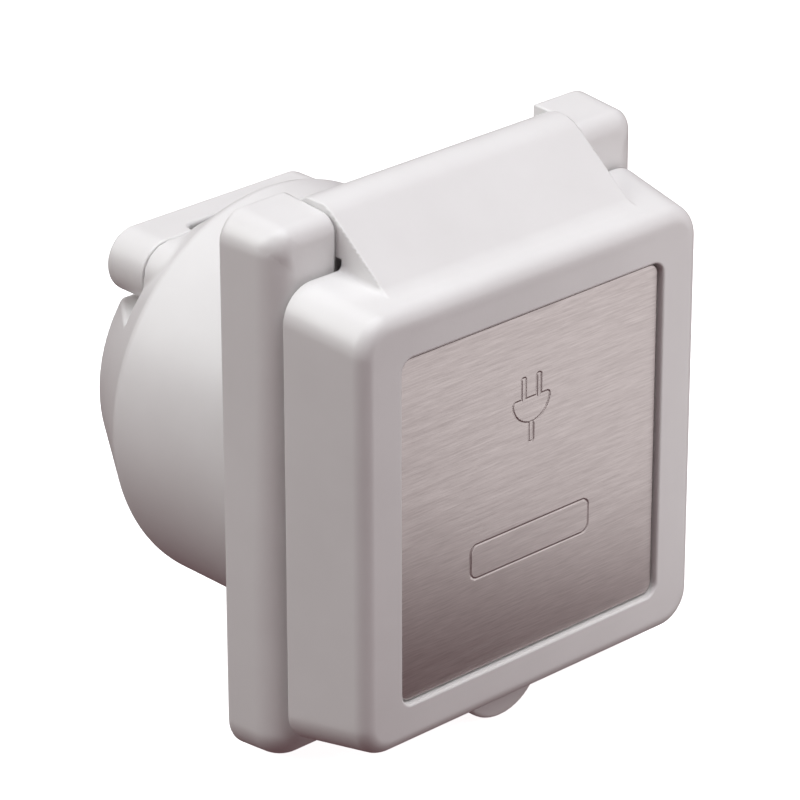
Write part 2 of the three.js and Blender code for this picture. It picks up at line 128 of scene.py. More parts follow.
# A screw's top and tip are their Y, and for a terminal screw their distance from the well's axis.
carrier_screw = Sizes(head=2.2, height=1.5, shank=1.3, top=2.9, tip=16)
enclosure_screw = Sizes(head=3, height=1.9, shank=1.5, top=52.6, tip=20)
clamp_screw = Sizes(head=3.6, height=2, shank=1.7, top=52.4, tip=33)
terminal_screw = Sizes(head=3, height=2, shank=1.5, top=20.3, tip=14.5)
thread = Sizes(pitch=0.7, depth=0.22, run_in=0.6)

SCREW_CIRCLE = 21.8
POST_ANGLE = 120

# The plug well's posts, by their angle from the top: two for the carrier, two for the enclosure.
POSTS = [
    Sizes(angle=0, radius=2.6, bore=1.6, bore_front=0, end=17),
    Sizes(angle=180, radius=2.6, bore=1.6, bore_front=0, end=17),
    Sizes(angle=POST_ANGLE, radius=2.8, bore=1.8, bore_front=14, end=30),
    Sizes(angle=-POST_ANGLE, radius=2.8, bore=1.8, bore_front=14, end=30),
]

# The contacts by their angle from the top, seen from the front, and the arc they cover. The ground
# contact has a hook towards the axis.
CONTACTS = {
    "hot": Sizes(angle=-60, arc=40, hooked=False),
    "neutral": Sizes(angle=60, arc=50, hooked=False),
    "ground": Sizes(angle=180, arc=36, hooked=True),
}

# ---------------------------------------------------------------- distance fields


def both(a, b, r=0.0):
    """Inside a and b, with the edge where they meet rounded by r."""
    return np.minimum(np.maximum(a, b), -r) + np.hypot(np.maximum(a + r, 0), np.maximum(b + r, 0))


def either(a, b, r=0.0):
    """Inside a or b, with a fillet of r where they meet."""
    return np.maximum(np.minimum(a, b), r) - np.hypot(np.maximum(r - a, 0), np.maximum(r - b, 0))


def without(a, b, r=0.0):
    """Inside a and not in b, with the new edge rounded by r."""
    return both(a, -b, r)


def between(t, low, high):
    """Inside the interval from low to high."""
    return np.abs(t - (low + high) / 2) - (high - low) / 2


def rectangle(u, v, u0, u1, v0, v1, corner=0.0):
    """Inside a rectangle from (u0, v0) to (u1, v1) whose corners are rounded."""
    du = between(u, u0 + corner, u1 - corner)
    dv = between(v, v0 + corner, v1 - corner)
    inside = np.minimum(np.maximum(du, dv), 0)
    return np.hypot(np.maximum(du, 0), np.maximum(dv, 0)) + inside - corner


def circle(u, v, radius, u0=0.0, v0=0.0):
    """Inside a circle about (u0, v0)."""
    return np.hypot(u - u0, v - v0) - radius


def beyond_line(u, v, point, direction):
    """Distance to the left of a line through a point."""
    length = math.hypot(*direction)
    return ((v - point[1]) * direction[0] - (u - point[0]) * direction[1]) / length


def on_circle(radius, angle):
    """X and Z of a point on a circle about the axis, by its angle from the top."""
    return radius * math.sin(math.radians(angle)), radius * math.cos(math.radians(angle))


def turned_back(x, z, angle):
    """X and Z as they are for a piece at the top, before it is turned round to an angle."""
    c, s = math.cos(math.radians(angle)), math.sin(math.radians(angle))
    return x * c - z * s, x * s + z * c


# ---------------------------------------------------------------- meshes


def ruler(low, high, fine, coarse, detailed):
    """Sample places from low to high: fine in the detailed intervals, up to coarse away from them."""
    margin = 3 * fine
    growth = 0.3
    places = [low - margin]
    while places[-1] < high + margin:
        here = places[-1]
        away = min(max(a - here, here - b, 0) for a, b in detailed)
        places.append(here + min(coarse, fine + growth * away))
    return np.array(places)


def gradient(field, points):
    """The field's slope at each point, which is the surface's normal there."""
    reach = 0.01
    slope = np.empty_like(points)
    for axis in range(3):
        ahead, behind = points.copy(), points.copy()
        ahead[:, axis] += reach
        behind[:, axis] -= reach
        slope[:, axis] = (field(*ahead.T) - field(*behind.T)) / (2 * reach)
    return slope


def drawn_to_surface(field, points, limit):
    """Points moved onto the surface where the field is zero, each by at most limit on each axis."""
    rounds = 3
    least = 0.2
    moved = points.copy()
    for _ in range(rounds):
        slope = gradient(field, moved)
        steepness = np.maximum((slope**2).sum(1), least)
        moved -= (field(*moved.T) / steepness)[:, None] * slope
        moved = np.clip(moved, points - limit, points + limit)
    return moved


def surface(field, rulers):
    """Points, quads and normals of the surface where the field is zero."""
    far = 3.0
    x, y, z = np.meshgrid(*rulers, indexing="ij", sparse=True)
    shape = [len(r) for r in rulers]
    values = np.broadcast_to(np.clip(field(x, y, z), -far, far), shape)
    grid = openvdb.FloatGrid(far)
    grid.copyFromArray(np.ascontiguousarray(values, dtype=np.float32))
    steps, quads = grid.convertToQuads(0.0)
    points = np.stack([np.interp(steps[:, i], np.arange(len(r)), r) for i, r in enumerate(rulers)], 1)
    points = drawn_to_surface(field, points, 0.7 * min(np.diff(r).min() for r in rulers))
    normals = gradient(field, points)
    normals /= np.maximum(np.linalg.norm(normals, axis=1), 1e-6)[:, None]
    return points, quads, normals


def stand_in(node, slot_name, mesh):
    """Makes an object of that mesh that stands for a CAD node and rides on its body."""
    mesh.materials.append(materials[slot_name])
    piece = bpy.data.objects.new(node + "_look", mesh)
    bpy.context.scene.collection.objects.link(piece)
    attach(piece, frame["nodes"][node]["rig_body"])
    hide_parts(node)


def moulded(node, slot_name, field, fine, coarse=0.0, detailed=None):
    """Stands for a CAD node with the zero surface of a field. The steps between samples are fine in
    the detailed intervals, a list of them for each axis, and grow up to coarse away from them."""
    low, high = (np.array(corner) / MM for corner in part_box(node))
    everywhere = [[(-1000, 1000)]] * 3
    rulers = [
        ruler(low[i], high[i], fine, max(coarse, fine), (detailed or everywhere)[i]) for i in range(3)
    ]
    points, quads, normals = surface(field, rulers)
    mesh = bpy.data.meshes.new(node + "_look")
    mesh.from_pydata((points * MM).tolist(), [], quads.tolist())
    mesh.shade_smooth()
    mesh.normals_split_custom_set_from_vertices(normals.tolist())
    stand_in(node, slot_name, mesh)


def revolved(node, slot_name, outline, sides):
    """Stands for a CAD node with a closed outline turned about Y. outline(angle) gives its points as
    (radius, y), the same number at every angle."""
    angles = np.arange(sides) * math.tau / sides
    rings = np.array([outline(a) for a in angles])
    count = rings.shape[1]
    points = np.stack([rings[..., 0] * np.sin(angles)[:, None], rings[..., 1],
                       rings[..., 0] * np.cos(angles)[:, None]], -1)
    quads = []
    for i in range(sides):
        here, after = i * count, (i + 1) % sides * count
        for j in range(count):
            k = (j + 1) % count
            quads.append((here + j, here + k, after + k, after + j))
    mesh = bpy.data.meshes.new(node + "_look")
    mesh.from_pydata((points.reshape(-1, 3) * MM).tolist(), [], quads)
    mesh.shade_smooth()
    mesh.set_sharp_from_angle(angle=math.radians(40))
    stand_in(node, slot_name, mesh)


# ---------------------------------------------------------------- materials

materials = {}

# Most of a noise lies between these values.
LOW = 0.3
HIGH = 0.7


def new_material(name, roughness, metallic=0.0):
    """Makes a node material, kept in materials under its name, and returns its node tree, its shader
    and the object's coordinates. Its name in Blender ends in _look, because the CAD import has
    materials by the plain names."""
    materials[name] = bpy.data.materials.new(name + "_look")
    materials[name].use_nodes = True
    tree = materials[name].node_tree
    shader = tree.nodes["Principled BSDF"]
    shader.inputs["Roughness"].default_value = roughness
    shader.inputs["Metallic"].default_value = metallic
    place = tree.nodes.new("ShaderNodeTexCoord")
    return tree, shader, place.outputs["Object"]


def noise(tree, place, scale, detail=3.0, stretch=(1, 1, 1), roughness=0.5):
    """A noise from 0 to 1 with that many lumps per metre, stretched where stretch is below 1."""
    mapping = tree.nodes.new("ShaderNodeMapping")
    mapping.inputs["Scale"].default_value = stretch
    texture = tree.nodes.new("ShaderNodeTexNoise")
    texture.inputs["Scale"].default_value = scale
    texture.inputs["Detail"].default_value = detail
    texture.inputs["Roughness"].default_value = roughness
    tree.links.new(place, mapping.inputs["Vector"])
    tree.links.new(mapping.outputs["Vector"], texture.inputs["Vector"])
    return texture.outputs["Fac"]


def coloured(tree, shader, value, dark, light):
    """The shader's colour runs from dark to light as the value goes from LOW to HIGH."""
    ramp = tree.nodes.new("ShaderNodeValToRGB")
    ramp.color_ramp.elements[0].position = LOW
    ramp.color_ramp.elements[0].color = (*dark, 1)
    ramp.color_ramp.elements[1].position = HIGH
    ramp.color_ramp.elements[1].color = (*light, 1)
    tree.links.new(value, ramp.inputs["Fac"])
    tree.links.new(ramp.outputs["Color"], shader.inputs["Base Color"])


def roughened(tree, shader, value, low, high):
    """The shader's roughness runs from low to high as the value goes from LOW to HIGH."""
    spread = tree.nodes.new("ShaderNodeMapRange")
    spread.inputs["From Min"].default_value = LOW
    spread.inputs["From Max"].default_value = HIGH
    spread.inputs["To Min"].default_value = low
    spread.inputs["To Max"].default_value = high
    tree.links.new(value, spread.inputs["Value"])
    tree.links.new(spread.outputs["Result"], shader.inputs["Roughness"])


def bumped(tree, shader, *layers):
    """Relief on the shader from (height value, depth in millimetres) layers."""
    below = None
    for value, depth in layers:
        bump = tree.nodes.new("ShaderNodeBump")
        bump.inputs["Distance"].default_value = depth * MM
        tree.links.new(value, bump.inputs["Height"])
        if below is not None:
            tree.links.new(below, bump.inputs["Normal"])
        below = bump.outputs["Normal"]
    tree.links.new(below, shader.inputs["Normal"])


def white_plastic():
    """Satin moulded plastic with the faint ripple and grain of its mould."""
    tree, shader, place = new_material("white_plastic", 0.34)
    shader.inputs["IOR"].default_value = 1.5
    coloured(tree, shader, noise(tree, place, 60, 4), (0.795, 0.79, 0.785), (0.83, 0.827, 0.823))
    roughened(tree, shader, noise(tree, place, 400, 3), 0.3, 0.38)
    bumped(tree, shader, (noise(tree, place, 350, 2), 0.02), (noise(tree, place, 3500, 2), 0.004))


def brushed_plate():
    """Stainless sheet brushed from side to side: long fine streaks, a few deeper scratches."""
    tree, shader, place = new_material("brushed_plate", 0.34, 1.0)
    shader.inputs["Anisotropic"].default_value = 0.5
    streaks = noise(tree, place, 3500, 4, (0.05, 1, 1), 0.7)
    coloured(tree, shader, streaks, (0.54, 0.502, 0.49), (0.71, 0.665, 0.652))
    roughened(tree, shader, noise(tree, place, 2500, 2, (0.03, 1, 1)), 0.32, 0.4)
    scratches = noise(tree, place, 1800, 2, (0.03, 1, 1), 0.6)
    bumped(tree, shader, (streaks, 0.003), (scratches, 0.002))


def collar_steel():
    """Turned stainless, with the tool's fine rings round its axis."""
    tree, shader, place = new_material("collar_steel", 0.25, 1.0)
    rings = noise(tree, place, 9000, 2, (0.01, 1, 0.01))
    coloured(tree, shader, rings, (0.58, 0.58, 0.59), (0.7, 0.7, 0.71))
    roughened(tree, shader, noise(tree, place, 500, 3), 0.2, 0.32)
    bumped(tree, shader, (rings, 0.004))


def carrier_nylon():
    """Matte nylon with a slightly mottled tone."""
    tree, shader, place = new_material("carrier_nylon", 0.5)
    coloured(tree, shader, noise(tree, place, 250, 4), (0.6, 0.6, 0.575), (0.68, 0.68, 0.66))
    roughened(tree, shader, noise(tree, place, 900, 3), 0.45, 0.6)
    bumped(tree, shader, (noise(tree, place, 2500, 3), 0.01))


def black_rubber():
    """Matte rubber with a grainy skin and a trace of bloom."""
    tree, shader, place = new_material("black_rubber", 0.75)
    coloured(tree, shader, noise(tree, place, 300, 5), (0.014, 0.014, 0.016), (0.04, 0.04, 0.043))
    roughened(tree, shader, noise(tree, place, 700, 3), 0.65, 0.85)
    bumped(tree, shader, (noise(tree, place, 3000, 3), 0.02))


def screw_steel():
    """Bright stainless with fine handling marks."""
    tree, shader, place = new_material("screw_steel", 0.25, 1.0)
    coloured(tree, shader, noise(tree, place, 1200, 4), (0.56, 0.57, 0.58), (0.7, 0.71, 0.72))
    roughened(tree, shader, noise(tree, place, 2500, 3), 0.18, 0.34)
    bumped(tree, shader, (noise(tree, place, 4000, 2), 0.004))


def contact_brass():
    """Drawn brass, streaked along the way it was drawn and lightly tarnished."""
    tree, shader, place = new_material("contact_brass", 0.25, 1.0)
    coloured(tree, shader, noise(tree, place, 400, 5), (0.5, 0.33, 0.12), (0.74, 0.53, 0.23))
    roughened(tree, shader, noise(tree, place, 1500, 3), 0.18, 0.36)
    bumped(tree, shader, (noise(tree, place, 5000, 2, (1, 0.05, 1)), 0.004))


def ground_green():
    """Green passivated screw, worn paler in places."""
    tree, shader, place = new_material("ground_green", 0.4, 0.7)
    coloured(tree, shader, noise(tree, place, 900, 4), (0.05, 0.2, 0.07), (0.15, 0.36, 0.17))
    roughened(tree, shader, noise(tree, place, 1500, 3), 0.3, 0.48)
    bumped(tree, shader, (noise(tree, place, 3500, 2), 0.006))


for make_material in (white_plastic, brushed_plate, collar_steel, carrier_nylon, black_rubber,
                      screw_steel, contact_brass, ground_green):
    make_material()

# ---------------------------------------------------------------- front housing


def hinge_slot(x, y, z):
    """The space for the lid's barrel between the ears, with its floor hollowed round the pin."""
    hollow = either(circle(y, z, slot.radius, hinge.y, hinge.z), hinge.z - z)
    return both(np.abs(x) - slot.half_width, hollow, 0.2)


def flange_block(x, y, z):
    """The flange without its openings. Its corners and edges are rounder low down, changing evenly
    from 20 mm below the axis to 30 mm above it, and its top edge is the sharpest."""
    up = np.clip((z + 20) / 50, 0, 1)
    corner = flange.low_corner + (flange.top_corner - flange.low_corner) * up
    outline = rectangle(x, z, -flange.half_width, flange.half_width, flange.bottom, flange.top, corner)
    edge = flange.low_edge + (flange.side_edge - flange.low_edge) * up
    below_top = flange.top - z
    from_side = flange.half_width - np.abs(x)
    blend = 6
    nearer_top = np.clip(0.5 + (from_side - below_top) / blend, 0, 1)
    edge = edge + (flange.top_edge - edge) * nearer_top
    return both(both(outline - flange.taper * y, flange.front - y, edge), y, 0.7)


def gasket_seat(x, y, z):
    """The shallow recess in the flange's back for the panel gasket."""
    half = gasket.half_width + GAP
    seat = rectangle(x, z, -half, half, gasket.bottom - GAP, gasket.top + GAP, gasket.corner)
    seat = without(seat, np.hypot(x, z) - gasket.hole + GAP)
    return both(seat, -gasket.thickness - GAP - y, 0.2)


def wall_screw_holes(x, y, z):
    """The countersunk holes in the flange's four corners."""
    away = circle(np.abs(x), np.abs(z), 0, fixing.x, fixing.z)
    sink = beyond_line(away, y, (fixing.head, flange.front), (fixing.head - fixing.hole, -fixing.depth))
    return either(away - fixing.hole, sink)


def front_housing(x, y, z):
    """The flange with its two ears, leaning outwards to its back where it meets the wall."""
    r = np.hypot(x, z)
    body = without(flange_block(x, y, z), hinge_slot(x, y, z), 0.35)
    body = without(body, both(r - collar.ridge - GAP, y - web.front, 0.2), 0.5)
    body = without(body, r - well.radius, 0.3)
    body = without(body, both(r - sleeve.outer - GAP, web.back - y, 0.3), 0.3)
    body = without(body, gasket_seat(x, y, z), 0.3)
    body = without(body, wall_screw_holes(x, y, z), 0.2)
    bore_end = hinge.pin_start - 0.5
    pin_hole = both(circle(y, z, hinge.bore, hinge.y, hinge.z), bore_end - x, 0.2)
    return without(body, pin_hole, 0.25)


def make_front_housing():
    moulded("front_housing", "white_plastic", front_housing, 0.55)


# ---------------------------------------------------------------- plug well


def well_profile(r, y):
    """The plug well's tube, its base and floor rings and the sleeve round it in the enclosure."""
    front = web.back + GAP
    outer = well.radius + WALL
    end = well.floor + well.floor_thickness
    tube = rectangle(r, y, well.radius, outer, front, end, EDGE)
    floor_ring = rectangle(r, y, well.floor_hole, outer, well.floor, end, EDGE)
    base_ring = rectangle(r, y, well.radius, sleeve.outer, front, front + WALL, EDGE)
    skirt = rectangle(r, y, sleeve.outer - WALL, sleeve.outer, front, sleeve.back, EDGE)
    return either(either(tube, floor_ring), either(base_ring, skirt))


def plug_well(x, y, z):
    """The well, with two short posts for the carrier's screws and two long ones for the enclosure's."""
    body = well_profile(np.hypot(x, z), y)
    for post in POSTS:
        away = circle(x, z, 0, *on_circle(SCREW_CIRCLE, post.angle))
        body = either(body, both(away - post.radius, between(y, well.floor + 1, post.end), 0.3), 0.3)
    for post in POSTS:
        away = circle(x, z, 0, *on_circle(SCREW_CIRCLE, post.angle))
        body = without(body, both(away - post.bore, post.bore_front - y), 0.15)
    return body


def make_plug_well():
    moulded("plug_well", "white_plastic", plug_well, 0.5)


# ---------------------------------------------------------------- rear enclosure and clamp


def clamp_outline(x, z):
    """The clamp seen along Y."""
    return rectangle(x, z, -clamp.half_width, clamp.half_width, clamp.bottom, clamp.top, clamp.corner)


def cable_channel(x, y, z):
    """The passage up through the clamp for the cable, half in each of its halves."""
    half = channel.half_width
    across = rectangle(x, y, -half, half, channel.front, channel.back, channel.corner)
    return both(across, channel.floor - z)


def from_clamp_screw(x, z):
    """Distance from the axis of the nearer clamp screw."""
    return circle(np.abs(x), z, 0, clamp.screw_x, (clamp.top + clamp.bottom) / 2)


def rear_enclosure(x, y, z):
    """The cup with its coned end, the pocket for the clamp bar, the clamp's front half and the tubes
    that the screws go through."""
    r = np.hypot(x, z)
    cone = beyond_line(r, y, (cup.radius, cup.ridge), (cup.radius - cup.end_radius, cup.ridge - cup.end))
    outside = both(both(both(r - cup.radius, cone, 0.5), y - cup.end, 0.4), cup.front - y, 0.3)
    pocket = both(clamp.seam - y, clamp.pocket - z, 0.4)
    outside = without(outside, pocket, 0.4)
    boss = both(clamp_outline(x, z), between(y, cup.ridge - 2, clamp.seam), 0.35)
    outside = either(outside, boss, 0.5)
    hollow = both(both(r - cup.radius + WALL, cone + WALL, 0.8), y - cup.end + WALL, 0.8)
    wall = both(clamp.seam - WALL - y, clamp.pocket - WALL - z, 0.3)
    body = without(outside, without(hollow, wall, 0.3), 0.1)
    away = from_clamp_screw(x, z)
    tube = both(away - clamp_tube.radius, between(y, clamp_tube.front, clamp.seam - 1), 0.3)
    body = either(body, tube, 0.4)
    for angle in (-POST_ANGLE, POST_ANGLE):
        post = circle(x, z, 0, *on_circle(SCREW_CIRCLE, angle))
        tube = both(post - end_tube.radius, between(y, end_tube.front, cup.end - 1), 0.3)
        body = either(body, tube, 0.4)
        body = without(body, both(post - end_tube.bore, end_tube.bore_front - y), 0.2)
        body = without(body, both(post - end_tube.head, cup.end - end_tube.head_depth - y), 0.3)
    body = without(body, cable_channel(x, y, z), 0.5)
    return without(body, both(away - clamp_tube.bore, clamp_tube.bore_front - y), 0.2)


def make_rear_enclosure():
    moulded("rear_enclosure", "white_plastic", rear_enclosure, 0.6)


def cord_clamp_bar(x, y, z):
    """The clamp's rear half, with a counterbored hole for each of its two screws."""
    body = both(clamp_outline(x, z), between(y, clamp.seam + GAP, clamp.back), 0.4)
    body = without(body, cable_channel(x, y, z), 0.8)
    away = from_clamp_screw(x, z)
    body = without(body, away - clamp.hole, 0.2)
    return without(body, both(away - clamp.head, clamp.back - clamp.head_depth - y), 0.3)


def make_cord_clamp_bar():
    moulded("cord_clamp_bar", "white_plastic", cord_clamp_bar, 0.35)


# ---------------------------------------------------------------- lid


def hinge_profile(y, z):
    """Side view of the hinge: the barrel round the pin and the ramp that rises to it, tangent."""
    foot = Vector((lid.ramp_foot, lid.top + lid.taper * (lid.ramp_foot - lid.front)))
    pin = Vector((hinge.y, hinge.z))
    to_pin = pin - foot
    slope = math.atan2(to_pin.y, to_pin.x) + math.asin(hinge.barrel / to_pin.length)
    along = (math.cos(slope), math.sin(slope))
    barrel = circle(y, z, hinge.barrel, pin.x, pin.y)
    ramp = (z - foot.y) * along[0] - (y - foot.x) * along[1]
    past_pin = (y - pin.x) * along[0] + (z - pin.y) * along[1]
    inside_lid = 3
    upper = both(both(ramp, past_pin), pin.y - z)
    lower = both(both(ramp, y - lid.back), lid.top - inside_lid - z)
    notched = both(both(y - notch.back, z - notch.top), lid.back - y)
    return without(either(either(barrel, upper), lower), notched, 0.2)


def lid_cover(x, y, z):
    """The hollow lid, widening to its back, with the hinge's ramp and barrel, the thumb tab below, the
    rib round the seal inside and the recess for the plate."""
    spread = lid.taper * (y - lid.front)
    outline = rectangle(x, z, -lid.half_width - spread, lid.half_width + spread, lid.bottom - spread,
                        lid.top + spread, lid.corner)
    shell = both(both(outline, lid.front - y, lid.edge), y - lid.back, 0.4)
    bar = both(hinge_profile(y, z), np.abs(x) - hinge.half_length, 0.25)
    shell = either(shell, bar, 0.8)
    disc = both(circle(x, z, tab.radius, 0, tab.z), between(y, tab.front, tab.back), 0.9)
    shell = either(shell, both(disc, z - lid.bottom - 1), 0.6)
    inset = WALL - spread
    cavity = rectangle(x, z, -lid.half_width + inset, lid.half_width - inset, lid.bottom + inset,
                       lid.top - inset, lid.corner - WALL)
    cavity = both(both(cavity, lid.cavity - y, 0.8), y - lid.back - 1)
    shell = without(shell, cavity, 0.4)
    ring = between(np.hypot(x, z), lid_rib.inner, lid_rib.outer)
    rib = both(ring, between(y, lid.cavity - 1, lid.cavity + lid_rib.height), 0.3)
    shell = either(shell, rib, 0.3)
    seat = rectangle(x, z, -recess.half_width, recess.half_width, recess.bottom, recess.top, recess.corner)
    shell = without(shell, both(seat, y - recess.floor, 0.2), 0.45)
    return without(shell, circle(y, z, hinge.bore, hinge.y, hinge.z), 0.25)


def make_lid():
    """The lid, with fine steps at its outer edges, the recess's walls and the ends of the ramp."""
    detailed = [
        [(-43, -37), (-31.5, -28), (28, 31.5), (37, 43)],
        [(-31, -27.8), (-16, -12.5)],
        [(-46, -41), (-40, -36), (-31, -29), (34, 35.5), (41.5, 48)],
    ]
    moulded("lid", "white_plastic", lid_cover, 0.3, 0.7, detailed)


# ---------------------------------------------------------------- trim plate


def engraving(x, z):
    """Distance to the plate's engraved lines: a plain frame, and above it a plug with two prongs."""
    border = rectangle(x, z, -label.half_width, label.half_width, label.bottom, label.top, label.corner)
    v = z - emblem.z
    body = both(circle(x, v, emblem.body), v - 0.2, 0.6)
    prongs = rectangle(np.abs(x), v, emblem.prong_inner, emblem.prong_outer, -0.6, emblem.prong_top, 0.3)
    lead = rectangle(x, v, -emblem.lead, emblem.lead, emblem.lead_end, 0.2 - emblem.body, 0.3)
    plug = np.minimum(np.minimum(body, prongs), lead)
    return np.minimum(np.abs(border), np.abs(plug))


def trim_plate(x, y, z):
    """The stainless sheet in the lid's recess, with its engraved lines."""
    inset = plate.inset
    outline = rectangle(x, z, inset - recess.half_width, recess.half_width - inset,
                        recess.bottom + inset, recess.top - inset, recess.corner - inset)
    depth = engraved.depth * np.clip(1 - engraving(x, z) / engraved.half_line, 0, 1)
    back = plate.front + plate.thickness
    return both(outline, np.maximum(plate.front + depth - y, y - back), 0.12)


def make_trim_plate():
    """The plate, with fine steps at its edges and its engraved lines."""
    detailed = [
        [(-31, -29.5), (-14.8, 14.8), (29.5, 31)],
        [(-30, -28)],
        [(-31, -28.5), (-12.4, -4.8), (9.5, 23), (33, 35)],
    ]
    moulded("trim_plate", "brushed_plate", trim_plate, 0.16, 1.5, detailed)


# ---------------------------------------------------------------- plug well's pieces


def make_threaded_collar():
    """The steel ring with a rolled round thread, its crests fading in and out at the ends."""
    lead_in = 0.8
    inner = [(well.radius, collar.back), (well.radius, collar.front + lead_in),
             (well.radius + 0.25, collar.front + 0.25), (well.radius + lead_in, collar.front)]
    first = collar.front + 0.9
    last = first + collar.turns * collar.pitch
    heights = np.linspace(collar.front + 0.3, collar.back, 80)

    def outline(angle):
        turn = angle / math.tau
        phase = (heights - first) / collar.pitch - turn
        crest = np.clip(0.5 + 0.75 * np.cos(math.tau * phase), 0, 1)
        fade = np.clip((heights - first) / lead_in, 0, 1) * np.clip((last - heights) / lead_in, 0, 1)
        outer = collar.outer + (collar.ridge - collar.outer) * crest * fade
        return inner + [(collar.outer - 0.3, collar.front)] + list(zip(outer, heights))

    revolved("threaded_collar", "collar_steel", outline, 160)


def make_lid_gasket():
    """A flat rubber ring in the lid with soft edges, which the collar presses on."""
    inner, outer = lid_seal.inner, lid_seal.outer
    front = lid.cavity + GAP
    back = front + lid_seal.thickness
    loop = [(outer - 0.3, front), (outer, front + 0.3), (outer, back - 0.5), (outer - 0.1, back - 0.2),
            (outer - 0.4, back), (inner + 0.6, back), (inner + 0.2, back - 0.2), (inner, back - 0.4),
            (inner, front + 0.3), (inner + 0.3, front)]
    revolved("lid_gasket", "black_rubber", lambda angle: loop, 128)


def blade_slot(x, z, contact, grow):
    """The curved outline of a blade, seen along Y, grown all round by grow."""
    u, v = turned_back(x, z, contact.angle)
    r = np.hypot(u, v)
    turn = np.arctan2(u, v)
    middle = (blade.inner + blade.outer) / 2
    half = math.radians(contact.arc / 2)
    body = both(between(r, blade.inner, blade.outer), (np.abs(turn) - half) * middle)
    if contact.hooked:
        thick = (blade.outer - blade.inner) / blade.inner
        foot = both(between(r, blade.inner - blade.hook, blade.outer),
                    between(turn, -half, -half + thick) * middle)
        body = np.minimum(body, foot)
    return body - grow


def contact_carrier(x, y, z):
    """The disc with the blades' slots, a shallow groove and two screw holes, and the boss behind it."""
    r = np.hypot(x, z)
    disc = both(r - well.radius + GAP, between(y, carrier.front, well.floor - GAP), 0.6)
    boss = both(r - carrier.boss, between(y, carrier.front + 1, carrier.back), 0.6)
    body = either(disc, boss, 0.3)
    groove = between(r, carrier.groove_inner, carrier.groove_outer)
    body = without(body, both(groove, y - carrier.front - carrier.groove_depth, 0.3), 0.3)
    for contact in CONTACTS.values():
        body = without(body, blade_slot(x, z, contact, GAP), 0.2)
    for angle in (0, 180):
        away = circle(x, z, 0, *on_circle(SCREW_CIRCLE, angle))
        body = without(body, away - carrier.hole, 0.1)
        body = without(body, both(away - carrier.head, y - carrier.front - carrier.head_depth), 0.2)
    return body


def make_contact_carrier():
    moulded("contact_carrier", "carrier_nylon", contact_carrier, 0.4)


def make_blades():
    """The contacts' blades, rounded at their tips so that they find a plug's slots."""
    for name, contact in CONTACTS.items():
        def field(x, y, z, contact=contact):
            outline = blade_slot(x, z, contact, 0)
            return both(both(outline, blade.tip - y, 0.55), y - blade.tail, 0.2)

        moulded("blade_" + name, "contact_brass", field, 0.3)


def make_terminal_lugs():
    """A box lug behind each blade, with a hole for the wire and one for the screw."""
    for name, contact in CONTACTS.items():
        def field(x, y, z, contact=contact):
            u, v = turned_back(x, z, contact.angle)
            box = both(rectangle(u, v, -lug.half_width, lug.half_width, lug.inner, lug.outer, 0.5),
                       between(y, lug.front, lug.back), 0.5)
            middle = (blade.inner + blade.outer) / 2
            wire = both(circle(u, v, lug.wire_hole, 0, middle), lug.back - lug.wire_depth - y)
            screw = both(circle(u, y, lug.screw_hole, 0, lug.screw_y), middle - v)
            blade_space = both(blade_slot(x, z, contact, GAP), y - blade.tail - GAP)
            body = without(without(box, wire, 0.3), screw, 0.2)
            return without(body, blade_space, 0.2)

        moulded("terminal_lug_" + name, "contact_brass", field, 0.35)


# ---------------------------------------------------------------- screws and pin


def screw_field(size, away, along, turn, across):
    """A slotted pan-head screw. along is 0 at the head's top and grows towards the tip, away is the
    distance from the axis, turn the angle round it and across the distance from the slot's middle."""
    crown = 0.15 * (1 - (away / size.head) ** 2)
    head = both(both(away - size.head, -crown - along, 0.35), along - size.height, 0.15)
    groove = 0.5 - 0.5 * np.cos(turn - along / thread.pitch * math.tau)
    fade = np.clip((along - size.height - 0.8) / thread.run_in, 0, 1)
    shank = away - size.shank + thread.depth * fade * groove
    length = abs(size.top - size.tip)
    body = either(head, both(shank, between(along, size.height - 0.2, length), 0.35), 0.1)
    return without(body, both(np.abs(across) - 0.5, along - 0.45 * size.height), 0.12)


def screw_along_y(node, size, place):
    """A screw along Y, with its axis at the X and Z of place."""
    forward = 1 if size.top > size.tip else -1

    def field(x, y, z):
        turn = np.arctan2(x - place[0], z - place[1])
        return screw_field(size, circle(x, z, 0, *place), (size.top - y) * forward, turn, z - place[1])

    moulded(node, "screw_steel", field, 0.2)


def make_screws():
    """The screws of the carrier, the rear enclosure and the clamp, two of each."""
    for name, angle in (("top", 0), ("bottom", 180)):
        screw_along_y("carrier_screw_" + name, carrier_screw, on_circle(SCREW_CIRCLE, angle))
    middle = (clamp.top + clamp.bottom) / 2
    for name, side in (("left", -1), ("right", 1)):
        screw_along_y("enclosure_screw_" + name, enclosure_screw,
                      on_circle(SCREW_CIRCLE, side * POST_ANGLE))
        screw_along_y("clamp_screw_" + name, clamp_screw, (side * clamp.screw_x, middle))


def make_terminal_screws():
    """The screws that bear on the wires, pointing at the well's axis."""
    finishes = {"hot": "contact_brass", "neutral": "screw_steel", "ground": "ground_green"}
    for name, contact in CONTACTS.items():
        def field(x, y, z, contact=contact):
            u, v = turned_back(x, z, contact.angle)
            across = y - lug.screw_y
            turn = np.arctan2(u, across)
            return screw_field(terminal_screw, np.hypot(u, across), terminal_screw.top - v, turn, across)

        moulded("terminal_screw_" + name, finishes[name], field, 0.2)


def make_hinge_pin():
    """The pin through both ears and the barrel, with fine steps at its ends."""
    def field(x, y, z):
        rod = circle(y, z, hinge.pin, hinge.y, hinge.z)
        return both(rod, between(x, hinge.pin_start, hinge.pin_end), 0.4)

    detailed = [[(-37.5, -36), (41, 43)], [(-20, 20)], [(0, 60)]]
    moulded("hinge_pin", "screw_steel", field, 0.25, 1.5, detailed)


